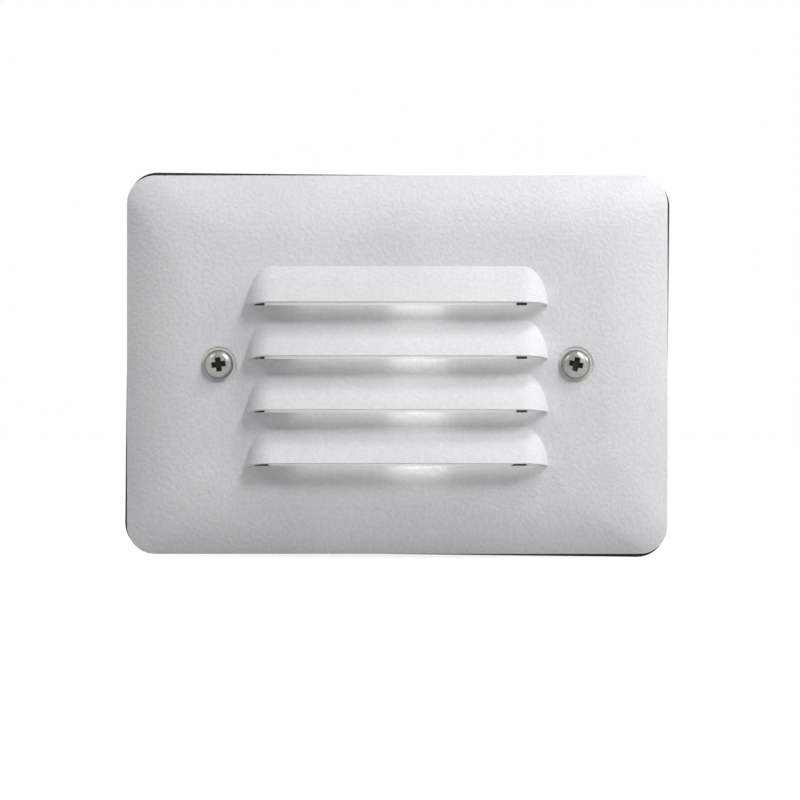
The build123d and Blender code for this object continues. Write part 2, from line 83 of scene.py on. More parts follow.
def startGroup(name, inputs, outputs):
    group = bpy.data.node_groups.new(name, "ShaderNodeTree")
    for label, kind, value in inputs:
        socket = group.interface.new_socket(name=label, in_out="INPUT", socket_type=kind)
        socket.default_value = value
    for label, kind in outputs:
        group.interface.new_socket(name=label, in_out="OUTPUT", socket_type=kind)
    return group, group.nodes.new("NodeGroupInput").outputs, group.nodes.new("NodeGroupOutput").inputs


def objectPlace(tree):
    return placeNode(tree, "ShaderNodeTexCoord", {}).outputs["Object"]


def noise(tree, place, scale, detail):
    values = {"Vector": place, "Scale": scale, "Detail": detail}
    return placeNode(tree, "ShaderNodeTexNoise", values).outputs["Fac"]


def ballAround(tree, place, centre, reach):
    # 1 at a centre, down to 0 at its reach
    values = {"Vector": place, "Location": centre, "Scale": reach}
    centred = placeNode(tree, "ShaderNodeMapping", values, vector_type="TEXTURE").outputs[0]
    ball = placeNode(tree, "ShaderNodeTexGradient", {"Vector": centred}, gradient_type="SPHERICAL")
    return ball.outputs["Fac"]


def raiseSurface(tree, shader, height, depth):
    bump = placeNode(tree, "ShaderNodeBump", {"Height": height, "Distance": depth})
    tree.links.new(bump.outputs["Normal"], shader.inputs["Normal"])


# Grain: fine and broad noise that mottles the colour and the gloss and raises the surface
isColour, isFloat = "NodeSocketColor", "NodeSocketFloat"
grain, given, wanted = startGroup(
    "surfaceGrain",
    [
        ("Fine Scale", isFloat, 1500.0),
        ("Broad Scale", isFloat, 40.0),
        ("Light", isColour, (0.8, 0.8, 0.8, 1)),
        ("Dark", isColour, (0.7, 0.7, 0.7, 1)),
        ("Smooth", isFloat, 0.4),
        ("Rough", isFloat, 0.5),
    ],
    [("Colour", isColour), ("Roughness", isFloat), ("Height", isFloat)],
)
place = objectPlace(grain)
fine = noise(grain, place, given["Fine Scale"], 2.5)
broad = noise(grain, place, given["Broad Scale"], 2.0)
both = placeNode(grain, "ShaderNodeMath", {0: fine, 1: broad}, operation="ADD").outputs[0]
mask = placeNode(
    grain, "ShaderNodeMapRange", {"Value": both, "From Min": 0.7, "From Max": 1.3}
).outputs["Result"]
tone = placeNode(
    grain, "ShaderNodeMix", {0: mask, 6: given["Dark"], 7: given["Light"]}, data_type="RGBA"
).outputs[2]
gloss = placeNode(
    grain, "ShaderNodeMix", {0: mask, 2: given["Smooth"], 3: given["Rough"]}, data_type="FLOAT"
).outputs[0]
grain.links.new(tone, wanted["Colour"])
grain.links.new(gloss, wanted["Roughness"])
grain.links.new(fine, wanted["Height"])


def grainyMaterial(name, light, dark, smooth, rough, fineScale, broadScale, bumpDepth, metallic=0.0):
    material, tree, shader = startMaterial(name, light, rough, metallic)
    group = placeNode(tree, "ShaderNodeGroup", {}, node_tree=grain)
    settings = {
        "Fine Scale": fineScale, "Broad Scale": broadScale,
        "Light": (*light, 1), "Dark": (*dark, 1), "Smooth": smooth, "Rough": rough,
    }
    for socket, value in settings.items():
        group.inputs[socket].default_value = value
    tree.links.new(group.outputs["Colour"], shader.inputs["Base Color"])
    tree.links.new(group.outputs["Roughness"], shader.inputs["Roughness"])
    raiseSurface(tree, shader, group.outputs["Height"], bumpDepth)
    return material


# Finishes, in each row: light and dark colour, roughness where smooth and where rough, fine and broad
# scale of the grain, its depth in metres, and the share of metal if there is any
grainyFinishes = {
    "whitePowderCoat": ((0.82, 0.82, 0.825), (0.73, 0.73, 0.74), 0.42, 0.50, 1150, 45, 0.00014),
    "blackFoamRubber": ((0.040, 0.040, 0.041), (0.010, 0.010, 0.010), 0.72, 0.95, 1900, 260, 0.00030),
    "paleNylon": ((0.78, 0.78, 0.75), (0.70, 0.70, 0.67), 0.35, 0.45, 2500, 120, 0.00001),
    "blackSilicone": ((0.085, 0.085, 0.087), (0.045, 0.045, 0.046), 0.40, 0.55, 2600, 90, 0.00001),
    "zincPlatedSteel": ((0.66, 0.67, 0.69), (0.52, 0.53, 0.54), 0.22, 0.38, 2200, 60, 0.00001, 1.0),
    "castAluminium": ((0.46, 0.465, 0.475), (0.33, 0.335, 0.345), 0.48, 0.66, 1300, 70, 0.00014, 0.85),
    "plugAluminium": ((0.42, 0.425, 0.435), (0.30, 0.305, 0.315), 0.38, 0.55, 1900, 110, 0.00006, 0.8),
    "greenSteel": ((0.06, 0.36, 0.13), (0.03, 0.22, 0.08), 0.25, 0.40, 2400, 150, 0.00001, 0.75),
    "whiteEnamel": ((0.86, 0.86, 0.84), (0.82, 0.82, 0.79), 0.16, 0.24, 380, 40, 0.00002),
    "whiteCeramic": ((0.83, 0.81, 0.76), (0.72, 0.70, 0.64), 0.50, 0.70, 2800, 150, 0.00003),
    "springBrass": ((0.80, 0.60, 0.26), (0.62, 0.44, 0.17), 0.22, 0.36, 2400, 200, 0.00001, 1.0),
    "connectorPlastic": ((0.10, 0.12, 0.30), (0.07, 0.09, 0.24), 0.38, 0.52, 2200, 120, 0.00002),
    "stainlessSteel": ((0.36, 0.355, 0.33), (0.22, 0.215, 0.20), 0.26, 0.42, 3600, 260, 0.00001, 1.0),
    # painted shade: near-black steel laid inside the screws' cross recesses to darken them as if in shade
    "paintedShadeSteel": ((0.060, 0.060, 0.052), (0.012, 0.012, 0.010), 0.55, 0.75, 2600, 300, 0.00003, 0.3),
    "lampWire": ((0.55, 0.55, 0.56), (0.42, 0.42, 0.43), 0.25, 0.35, 5000, 400, 0.000002, 1.0),
}
finishes = {name: grainyMaterial(name, *values) for name, values in grainyFinishes.items()}

# Braided sleeving on the leads: two sets of bands that cross
sleeve = {
    "colour": (0.05, 0.05, 0.05), "lightThread": (0.12, 0.12, 0.115), "roughness": 0.7,
    "bandScale": 900.0, "bandTurn": 40, "weaveDepth": 0.00008,
}


def sleeveFinish():
    material, tree, shader = startMaterial("leadSleeving", sleeve["colour"], sleeve["roughness"])
    place = objectPlace(tree)
    bands = []
    for degrees in (sleeve["bandTurn"], -sleeve["bandTurn"]):
        turned = placeNode(tree, "ShaderNodeMapping", {"Vector": place, "Rotation": (radians(degrees),) * 3})
        values = {"Vector": turned.outputs[0], "Scale": sleeve["bandScale"]}
        bands.append(placeNode(tree, "ShaderNodeTexWave", values).outputs["Fac"])
    weave = placeNode(tree, "ShaderNodeMath", {0: bands[0], 1: bands[1]}, operation="MAXIMUM").outputs[0]
    tones = {0: weave, 6: (*sleeve["colour"], 1), 7: (*sleeve["lightThread"], 1)}
    tone = placeNode(tree, "ShaderNodeMix", tones, data_type="RGBA").outputs[2]
    tree.links.new(tone, shader.inputs["Base Color"])
    raiseSurface(tree, shader, weave, sleeve["weaveDepth"])
    return material


finishes["leadSleeving"] = sleeveFinish()

# Frosted lens with its glow painted on as emission, brightest in front of the filament
glow = {
    "centre": (0.005, -0.0047, 0.0), "reach": (0.040, 0.040, 0.300), "falloff": 3.0, "strength": 0.36,
    "warm": (1.0, 0.985, 0.97), "edge": 0.80, "body": (0.52, 0.54, 0.53), "roughness": 0.45,
    "clearness": 0.45, "bending": 1.5, "frostScale": 2600.0, "frostDepth": 0.00003,
}


def lensFinish():
    material, tree, shader = startMaterial(
        "frostedGlass", glow["body"], glow["roughness"],
        Transmission_Weight=glow["clearness"], IOR=glow["bending"],
    )
    place = objectPlace(tree)
    fall = ballAround(tree, place, glow["centre"], glow["reach"])
    fall = placeNode(tree, "ShaderNodeMath", {0: fall, 1: glow["falloff"]}, operation="POWER").outputs[0]
    light = tuple(glow["warm"]) + (1,)
    dim = tuple(channel * glow["edge"] for channel in glow["warm"]) + (1,)
    tone = placeNode(tree, "ShaderNodeMix", {0: fall, 6: dim, 7: light}, data_type="RGBA").outputs[2]
    raiseSurface(tree, shader, noise(tree, place, glow["frostScale"], 2.0), glow["frostDepth"])
    tree.links.new(tone, shader.inputs["Emission Color"])
    shader.inputs["Emission Strength"].default_value = glow["strength"]
    return material


finishes["frostedGlass"] = lensFinish()

# Clear glass of the lamp, a little hazy in patches
lampGlass = {
    "tint": (1.0, 0.99, 0.97), "bending": 1.47, "haze": 240.0, "hazeFrom": 0.35, "hazeTo": 0.75,
    "clear": 0.015, "dull": 0.09, "ripple": 90.0, "rippleDepth": 0.00006,
}


def lampGlassFinish():
    material, tree, shader = startMaterial(
        "lampGlass", lampGlass["tint"], 0.02, Transmission_Weight=1.0, IOR=lampGlass["bending"]
    )
    place = objectPlace(tree)
    span = {
        "Value": noise(tree, place, lampGlass["haze"], 3.0),
        "From Min": lampGlass["hazeFrom"], "From Max": lampGlass["hazeTo"],
        "To Min": lampGlass["clear"], "To Max": lampGlass["dull"],
    }
    dull = placeNode(tree, "ShaderNodeMapRange", span).outputs["Result"]
    tree.links.new(dull, shader.inputs["Roughness"])
    raiseSurface(tree, shader, noise(tree, place, lampGlass["ripple"], 1.0), lampGlass["rippleDepth"])
    return material


finishes["lampGlass"] = lampGlassFinish()

# Hot filament, whiter at its middle than at its ends
hotWire = {
    "metal": (0.4, 0.38, 0.35), "white": (1.0, 0.84, 0.60), "orange": (1.0, 0.45, 0.16), "strength": 9.0,
    "middle": (0.005, 0.019, 0.0), "reach": 0.0036, "drawnScale": 9000.0, "drawnDepth": 0.00001,
}


def filamentFinish():
    material, tree, shader = startMaterial(
        "tungsten", hotWire["metal"], 0.4, 1.0, Emission_Strength=hotWire["strength"]
    )
    place = objectPlace(tree)
    heat = ballAround(tree, place, hotWire["middle"], (hotWire["reach"],) * 3)
    tones = {0: heat, 6: (*hotWire["orange"], 1), 7: (*hotWire["white"], 1)}
    tone = placeNode(tree, "ShaderNodeMix", tones, data_type="RGBA").outputs[2]
    tree.links.new(tone, shader.inputs["Emission Color"])
    raiseSurface(tree, shader, noise(tree, place, hotWire["drawnScale"], 1.0), hotWire["drawnDepth"])
    return material


finishes["tungsten"] = filamentFinish()
print("finishes made", len(finishes))


# Mesh helpers, in millimetres
onePoint = 0.0005  # points closer than this are merged


def spinProfile(bm, points, steps=48):
    # Turns points (radius, height) round Z, closed at the poles
    verts = [bm.verts.new((radius, 0, height)) for radius, height in points]
    edges = [bm.edges.new(pair) for pair in zip(verts, verts[1:])]
    bmesh.ops.spin(
        bm, geom=verts + edges, axis=(0, 0, 1), cent=(0, 0, 0), steps=steps, angle=2 * pi, use_merge=True
    )
    bmesh.ops.remove_doubles(bm, verts=bm.verts, dist=onePoint)
    bmesh.ops.recalc_face_normals(bm, faces=bm.faces)


def spinRidge(bm, crest, root, halfWidth, pitch, start, turns, stepsPerTurn=20):
    # A thread's ridge that climbs along Z, three-sided and closed at both ends
    corners = [(root, start - halfWidth), (crest, start), (root, start + halfWidth)]
    verts = [bm.verts.new((radius, 0, height)) for radius, height in corners]
    edges = [bm.edges.new((verts[i], verts[(i + 1) % 3])) for i in range(3)]
    steps = int(turns * stepsPerTurn)
    before = set(bm.faces)
    bmesh.ops.spin(
        bm, geom=verts + edges, axis=(0, 0, 1), cent=(0, 0, 0), dvec=(0, 0, pitch / stepsPerTurn),
        steps=steps, angle=2 * pi * turns,
    )
    made = [face for face in bm.faces if face not in before]
    rim = list({edge for face in made for edge in face.edges if edge.is_boundary})
    capped = bmesh.ops.holes_fill(bm, edges=rim, sides=3)["faces"]
    bmesh.ops.recalc_face_normals(bm, faces=made + capped)


def combine(bm, other, operation):
    # Boolean of two closed shapes; both are used up
    holders = []
    for shape in (bm, other):
        bmesh.ops.recalc_face_normals(shape, faces=shape.faces)
        mesh = bpy.data.meshes.new("work")
        shape.to_mesh(mesh)
        shape.free()
        holders.append(bpy.data.objects.new("work", mesh))
        scene.collection.objects.link(holders[-1])
    step = holders[0].modifiers.new("combine", "BOOLEAN")
    step.operation, step.object, step.solver = operation, holders[1], "EXACT"
    result = bmesh.new()
    result.from_object(holders[0], bpy.context.evaluated_depsgraph_get())
    for holder in holders:
        mesh = holder.data
        bpy.data.objects.remove(holder)
        bpy.data.meshes.remove(mesh)
    return result


def newPiece(bm, name, body, finish, replaced=(), softEdge=0.0, segments=2, toMetres=True):
    # A finished piece from a shape in millimetres, or in metres already when it is a CAD mesh
    if toMetres:
        bmesh.ops.scale(bm, vec=(0.001,) * 3, verts=bm.verts)
    for face in bm.faces:
        face.smooth = True
    mesh = bpy.data.meshes.new(name)
    bm.to_mesh(mesh)
    bm.free()
    mesh.materials.append(finishes[finish])
    # a second material of painted shade, near-black steel, for the faces deep inside a screw's recess
    if any(face.material_index for face in mesh.polygons):
        mesh.materials.append(finishes["paintedShadeSteel"])  # inside a screw's recess
    piece = bpy.data.objects.new(name, mesh)
    scene.collection.objects.link(piece)
    if softEdge:
        soften = piece.modifiers.new("softEdge", "BEVEL")
        soften.width = softEdge * 0.001
        soften.segments = segments
        soften.limit_method = "ANGLE"
        soften.angle_limit = radians(32)  # flatter edges than this stay as they are
        soften.harden_normals = True
        soften.miter_outer = "MITER_ARC"
    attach(piece, body)
    if replaced:
        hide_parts(*replaced)


def cylinderShape(radius, low, high, segments=40):
    shape = bmesh.new()
    bmesh.ops.create_cone(
        shape, cap_ends=True, segments=segments, radius1=radius, radius2=radius, depth=high - low,
        matrix=Matrix.Translation((0, 0, (low + high) / 2)),
    )
    return shape


def addShape(bm, other, matrix=Matrix.Identity(4)):
    # Joins another shape in as it is, at a place
    bmesh.ops.transform(other, matrix=matrix, verts=other.verts)
    mesh = bpy.data.meshes.new("work")
    other.to_mesh(mesh)
    other.free()
    bm.from_mesh(mesh)
    bpy.data.meshes.remove(mesh)


def cutPlane(bm, point, normal, clear=False):
    # Cuts all of a shape at a plane, and may clear what lies on the side the normal points to
    whole = bm.verts[:] + bm.edges[:] + bm.faces[:]
    cut = bmesh.ops.bisect_plane(bm, geom=whole, plane_co=point, plane_no=normal, clear_outer=clear)
    return [piece for piece in cut["geom_cut"] if isinstance(piece, bmesh.types.BMEdge)]


def facing(x, level, z, turn=0.0, back=False):
    # Stands +Z out towards the viewer, or into the wall, from a level in front of the wall
    flip = Matrix.Rotation(radians(-90 if back else 90), 4, "X")
    return Matrix.Translation((x, -level, z)) @ flip @ Matrix.Rotation(radians(turn), 4, "Z")


# Faceplate; a level is a distance in front of the wall
plate = {
    "width": 127.0, "height": 88.9, "corner": 6.6, "crownCorner": 12.0,
    "rimLevel": 1.6, "rimHeight": 1.5, "reach": 16.0, "drop": 5.0, "wall": 2.2, "rimWall": 2.4,
    "rings": 14, "cornerSteps": 12, "footLift": 0.2, "softEdge": 0.16,
}
louvres = {
    "lips": (14.55, 2.05, -10.45, -22.95), "width": 70.4, "height": 8.4, "depth": 6.5,
    "wall": 1.6, "round": 6.0, "roundSteps": 12, "sightGap": 0.75, "tail": 12.0,
    "hoodBack": 1.0, "hollowBack": -0.5,  # where each is cut off, from the crown's back
}
posts = {
    "screwX": 41.67, "screwPost": 4.0, "screwHole": 2.0, "spotRadius": 4.2, "spotDepth": 0.4,
    "lensX": 24.0, "lensZ": 28.6, "lensPost": 2.6, "lensHole": 1.46, "lensLevel": 2.3,
    "intoCrown": 0.5, "drillPast": 1.0, "holeSteps": 56,
}
crownLevel = plate["rimLevel"] + plate["rimHeight"] + plate["drop"]
crownBack = crownLevel - plate["wall"]
lipLevel = crownLevel + louvres["depth"]


def outlineRing(bm, halfWidth, halfHeight, corner, level, keepFace):
    # A rounded rectangle at a level: a square with its four corners bevelled
    made = bmesh.ops.create_grid(bm, x_segments=1, y_segments=1, size=1)["verts"]
    bmesh.ops.scale(bm, vec=(halfWidth, halfHeight, 1), verts=made)
    rounded = bmesh.ops.bevel(
        bm, geom=made, offset=corner, offset_type="OFFSET", segments=plate["cornerSteps"], profile=0.5,
        affect="VERTICES", material=-1,
    )
    corners = set(rounded["verts"]) | {v for f in rounded["faces"] for v in f.verts}
    face = max({f for v in corners for f in v.link_faces}, key=lambda f: f.calc_area())
    verts, edges = list(face.verts), list(face.edges)
    bmesh.ops.transform(bm, matrix=facing(0, level, 0), verts=verts)
    if not keepFace:
        bmesh.ops.delete(bm, geom=[face], context="FACES_ONLY")
    return edges


def domeShape():
    # The plate without its louvres: outer dome, rim and hollow back in one closed skin
    bm = bmesh.new()
    radius = (plate["reach"] ** 2 + plate["drop"] ** 2) / (2 * plate["drop"])
    flatWidth = plate["width"] / 2 - plate["reach"]
    flatHeight = plate["height"] / 2 - plate["reach"]
    feet = []
    for inner in (False, True):
        curve = radius - (plate["wall"] if inner else 0)
        reach = plate["reach"] - (plate["rimWall"] if inner else 0)
        footCorner = plate["corner"] - (plate["rimWall"] if inner else 0)
        top = crownBack if inner else crownLevel
        # the inner foot starts a little high, because two loops in one plane don't bridge
        footLevel = plate["rimLevel"] + (plate["footLift"] if inner else 0)
        stack = [outlineRing(bm, flatWidth + reach, flatHeight + reach, footCorner, footLevel, False)]
        for step in range(plate["rings"] + 1):
            spread = reach * (1 - step / plate["rings"])
            corner = plate["crownCorner"] + (footCorner - plate["crownCorner"]) * spread / reach
            level = top - curve + (curve**2 - spread**2) ** 0.5
            isTop = step == plate["rings"]
            stack.append(outlineRing(bm, flatWidth + spread, flatHeight + spread, corner, level, isTop))
        for low, high in zip(stack, stack[1:]):
            bmesh.ops.bridge_loops(bm, edges=low + high)
        feet.append(stack[0])
    bmesh.ops.bridge_loops(bm, edges=feet[0] + feet[1])
    innerFoot = list({v for edge in feet[1] for v in edge.verts})
    bmesh.ops.translate(bm, vec=(0, plate["footLift"], 0), verts=innerFoot)
    bmesh.ops.recalc_face_normals(bm, faces=bm.faces)
    return bm


def louvreWedge(halfWidth, faceLevel, endRound, back):
    # A wedge over a lip at Z = 0: its sloping face's two ends are rounded, and its back is cut off flat
    bm = bmesh.new()
    slope = louvres["depth"] / louvres["height"]
    tail = back - louvres["tail"]
    gap = louvres["sightGap"]
    atLip = faceLevel + gap * slope
    outline = [(atLip, -gap), (tail, -gap), (tail, (faceLevel - tail) / slope)]
    start = bm.faces.new([bm.verts.new((-halfWidth, -level, z)) for level, z in outline])
    pushed = bmesh.ops.extrude_face_region(bm, geom=[start])["geom"]
    farEnd = [v for v in pushed if isinstance(v, bmesh.types.BMVert)]
    bmesh.ops.translate(bm, vec=(2 * halfWidth, 0, 0), verts=farEnd)
    bmesh.ops.recalc_face_normals(bm, faces=bm.faces)
    sloping = []  # the only edges that stay at one X and change in both Y and Z
    for edge in bm.edges:
        run = edge.verts[0].co - edge.verts[1].co
        if abs(run.x) < 1e-6 and abs(run.y) > 1 and abs(run.z) > 1:
            sloping.append(edge)
    bmesh.ops.bevel(
        bm, geom=sloping, offset=endRound, offset_type="OFFSET", segments=louvres["roundSteps"],
        profile=0.5, affect="EDGES", material=-1,
    )
    rim = cutPlane(bm, (0, -back, 0), (0, 1, 0), clear=True)
    bmesh.ops.holes_fill(bm, edges=rim, sides=0)
    bmesh.ops.recalc_face_normals(bm, faces=bm.faces)
    return bm


def addPost(bm, place, radius, low, high):
    post = bmesh.new()
    addShape(post, cylinderShape(radius, low, high), place)
    return combine(bm, post, "UNION")


def drill(bm, x, z, radius, low, high, segments=40):
    hole = bmesh.new()
    addShape(hole, cylinderShape(radius, low, high, segments), facing(x, 0, z))
    return combine(bm, hole, "DIFFERENCE")


def makeFaceplate():
    bm = domeShape()
    slope = louvres["depth"] / louvres["height"]
    wallAlong = louvres["wall"] * (1 + slope**2) ** 0.5
    for lip in louvres["lips"]:
        hood = louvreWedge(
            louvres["width"] / 2, lipLevel, louvres["round"], crownBack + louvres["hoodBack"]
        )
        # the underside slopes up from the crown to the lip
        cutPlane(hood, (0, -lipLevel, 0), (0, -louvres["sightGap"], -louvres["depth"]), clear=True)
        bmesh.ops.holes_fill(hood, edges=[e for e in hood.edges if e.is_boundary], sides=0)
        bmesh.ops.translate(hood, vec=(0, 0, lip), verts=hood.verts)
        bm = combine(bm, hood, "UNION")
    for lip in louvres["lips"]:
        hollow = louvreWedge(
            louvres["width"] / 2 - louvres["wall"], lipLevel - wallAlong,
            louvres["round"] - louvres["wall"], crownBack + louvres["hollowBack"],
        )
        bmesh.ops.translate(hollow, vec=(0, 0, lip), verts=hollow.verts)
        bm = combine(bm, hollow, "DIFFERENCE")
    past, steps = posts["drillPast"], posts["holeSteps"]
    postTop = crownBack + posts["intoCrown"]
    spotLevel = crownLevel - posts["spotDepth"]
    for x in (-posts["screwX"], posts["screwX"]):
        foot = facing(x, plate["rimLevel"], 0)
        bm = addPost(bm, foot, posts["screwPost"], 0, postTop - plate["rimLevel"])
        bm = drill(bm, x, 0, posts["screwHole"], plate["rimLevel"] - past, crownLevel + past, steps)
        bm = drill(bm, x, 0, posts["spotRadius"], spotLevel, crownLevel + past, steps)
    for x in (-posts["lensX"], posts["lensX"]):
        for z in (-posts["lensZ"], posts["lensZ"]):
            bm = addPost(bm, facing(x, 0, z), posts["lensPost"], posts["lensLevel"], postTop)
            bm = drill(bm, x, z, posts["lensHole"], posts["lensLevel"] - past, crownBack)
    bmesh.ops.remove_doubles(bm, verts=bm.verts, dist=onePoint)
    newPiece(
        bm, "paintedFaceplate", "cover", "whitePowderCoat", ["faceplate"],
        softEdge=plate["softEdge"], segments=3,
    )


makeFaceplate()
print("faceplate made")

# Pan-head screws with a cross recess; first what they all share
panHead = {
    "profile": [  # shares of the head's radius and height, from the crown to the underside
        (0, 1), (0.34, 0.985), (0.60, 0.93), (0.79, 0.82), (0.915, 0.64), (0.985, 0.40), (1, 0.14),
        (0.985, 0.03), (0.95, 0),
    ],
    "point": 0.6, "pointShare": 0.55, "recessProud": 0.6, "recessFloor": (0.42, 0.62),
    # where the painted shade goes inside the recess: within a share of the recess span from the axis,
    # between a low height and a share of the head's height
    "paintedShadeSpan": 0.56, "paintedShadeLow": 0.3, "paintedShadeHigh": 0.9,
    "ridgeShare": 0.42, "ridgeRoot": 0.05, "ridgeStart": 0.8, "plainShank": 1.4, "runOut": 0.6,
}
coverScrew = {
    "headRadius": 3.45, "headHeight": 2.2, "shank": 1.32, "crest": 1.7, "pitch": 0.794, "length": 16.0,
    "level": 8.2, "recessSpan": 4.1, "recessWidth": 1.45, "recessDepth": 1.5,
    "turns": {"left": 8, "right": -14}, "softEdge": 0.07,
}
lensScrew = {
    "headRadius": 2.5, "headHeight": 1.5, "shank": 1.1, "crest": 1.4, "pitch": 0.6, "length": 4.0,
    "level": 1.6, "recessSpan": 2.9, "recessWidth": 0.85, "recessDepth": 0.95,
    "firstTurn": 17, "nextTurn": 40, "softEdge": 0.06,
}
trayScrew = {
    "headRadius": 3.2, "headHeight": 1.8, "shank": 1.32, "crest": 1.7, "pitch": 0.794, "length": 8.0,
    "level": -30.0, "recessSpan": 3.6, "recessWidth": 1.05, "recessDepth": 1.2,
    "x": 22.0, "firstTurn": 25, "nextTurn": 38, "softEdge": 0.07,
}


def crossRecess(size):
    depth = size["recessDepth"] + panHead["recessProud"]
    middle = size["headHeight"] - size["recessDepth"] / 2 + panHead["recessProud"] / 2
    arms = []
    for quarter in (0, 90):
        arm = bmesh.new()
        bmesh.ops.create_cube(arm, size=1)
        bmesh.ops.scale(arm, vec=(size["recessSpan"], size["recessWidth"], depth), verts=arm.verts)
        floor = [v for v in arm.verts if v.co.z < 0]
        bmesh.ops.scale(arm, vec=(*panHead["recessFloor"], 1), verts=floor)
        at = Matrix.Translation((0, 0, middle)) @ Matrix.Rotation(radians(quarter), 4, "Z")
        bmesh.ops.transform(arm, matrix=at, verts=arm.verts)
        arms.append(arm)
    return combine(*arms, "UNION")


def screwShape(size):
    radius, height, end = size["headRadius"], size["headHeight"], -size["length"]
    bm = bmesh.new()
    spinProfile(bm, [(across * radius, up * height) for across, up in panHead["profile"]] + [
        (size["shank"], 0), (size["shank"], end + panHead["point"]),
        (panHead["pointShare"] * size["shank"], end), (0, end),
    ])
    bm = combine(bm, crossRecess(size), "DIFFERENCE")
    # faces deep in the cross recess get the second material: painted shade that darkens the recess
    for face in bm.faces:
        spot = face.calc_center_median()
        nearAxis = spot.xy.length < panHead["paintedShadeSpan"] * size["recessSpan"]
        if nearAxis and panHead["paintedShadeLow"] < spot.z < panHead["paintedShadeHigh"] * height:
            face.material_index = 1
    pitch = size["pitch"]
    turns = (size["length"] - panHead["plainShank"]) / pitch - panHead["runOut"]
    spinRidge(
        bm, size["crest"], size["shank"] - panHead["ridgeRoot"], pitch * panHead["ridgeShare"], pitch,
        end + panHead["ridgeStart"], turns,
    )
    return bm


def makeScrews():
    for side, x in (("left", -posts["screwX"]), ("right", posts["screwX"])):
        bm = bmesh.new()
        addShape(bm, screwShape(coverScrew), facing(x, coverScrew["level"], 0, coverScrew["turns"][side]))
        newPiece(
            bm, side + "CoverScrew", side + "_screw", "stainlessSteel",
            [side + "_screw"], softEdge=coverScrew["softEdge"],
        )
    places = [(x, z) for x in (-posts["lensX"], posts["lensX"]) for z in (-posts["lensZ"], posts["lensZ"])]
    bm = bmesh.new()
    for i, (x, z) in enumerate(places):
        turn = lensScrew["firstTurn"] + lensScrew["nextTurn"] * i
        addShape(bm, screwShape(lensScrew), facing(x, lensScrew["level"], z, turn, back=True))
    newPiece(
        bm, "lensScrews", "cover", "zincPlatedSteel", ["retainer_screws"],
        softEdge=lensScrew["softEdge"],
    )
    bm = bmesh.new()
    for i, x in enumerate((-trayScrew["x"], trayScrew["x"])):
        turn = trayScrew["firstTurn"] + trayScrew["nextTurn"] * i
        addShape(bm, screwShape(trayScrew), facing(x, trayScrew["level"], 0, turn))
    newPiece(
        bm, "trayScrews", "root", "zincPlatedSteel", ["reflector_screws"],
        softEdge=trayScrew["softEdge"],
    )


makeScrews()
print("screws made")

# Ground screw: a chamfered hexagon over its washer
groundScrew = {
    "x": 38.0, "z": 22.0, "level": -44.4, "turn": 11, "softEdge": 0.1,
    "hexRadius": 4.6, "hexHeight": 3.0, "washerRadius": 5.2, "washer": 0.8,
    "chamferTop": 0.80, "chamferFoot": 1.1, "chamferDepth": 0.9, "spare": 0.1,
    "shank": 1.9, "shankEnd": -5.9, "crest": 2.35, "root": 1.85, "ridge": 0.33, "pitch": 0.794,
    "ridgeStart": -5.4, "ridgeTurns": 6,
}


def makeGroundScrew():
    size = groundScrew
    radius, foot = size["hexRadius"], size["washer"]
    top = foot + size["hexHeight"]
    bm = bmesh.new()
    bmesh.ops.create_cone(
        bm, cap_ends=True, segments=6, radius1=radius, radius2=radius, depth=size["hexHeight"],
        matrix=Matrix.Translation((0, 0, foot + size["hexHeight"] / 2)),
    )
    wide = size["chamferFoot"] * radius
    chamfer = bmesh.new()
    spinProfile(chamfer, [
        (0, top + size["spare"]), (size["chamferTop"] * radius, top + size["spare"]),
        (wide, top - size["chamferDepth"]), (wide, foot - size["spare"]), (0, foot - size["spare"]),
    ])
    bm = combine(bm, chamfer, "INTERSECT")
    addShape(bm, cylinderShape(size["washerRadius"], 0, foot, 48))
    addShape(bm, cylinderShape(size["shank"], size["shankEnd"], size["spare"], 32))
    spinRidge(
        bm, size["crest"], size["root"], size["ridge"], size["pitch"], size["ridgeStart"], size["ridgeTurns"]
    )
    at = facing(size["x"], size["level"], size["z"], size["turn"])
    bmesh.ops.transform(bm, matrix=at, verts=bm.verts)
    newPiece(
        bm, "groundScrewHex", "root", "greenSteel", ["ground_screw"],
        softEdge=size["softEdge"],
    )


makeGroundScrew()

# Wire connectors: ribbed tapered caps
connector = {
    "start": -13.0, "length": 22.0, "mouth": 5.5, "tip": 3.6, "bore": 3.2, "boreDepth": 12.0,
    "level": -39.0, "z": 20.0, "ribs": 18, "ribDepth": 0.07, "collar": 3.0, "ribStart": 3.6,
    "softEdge": 0.12,
}


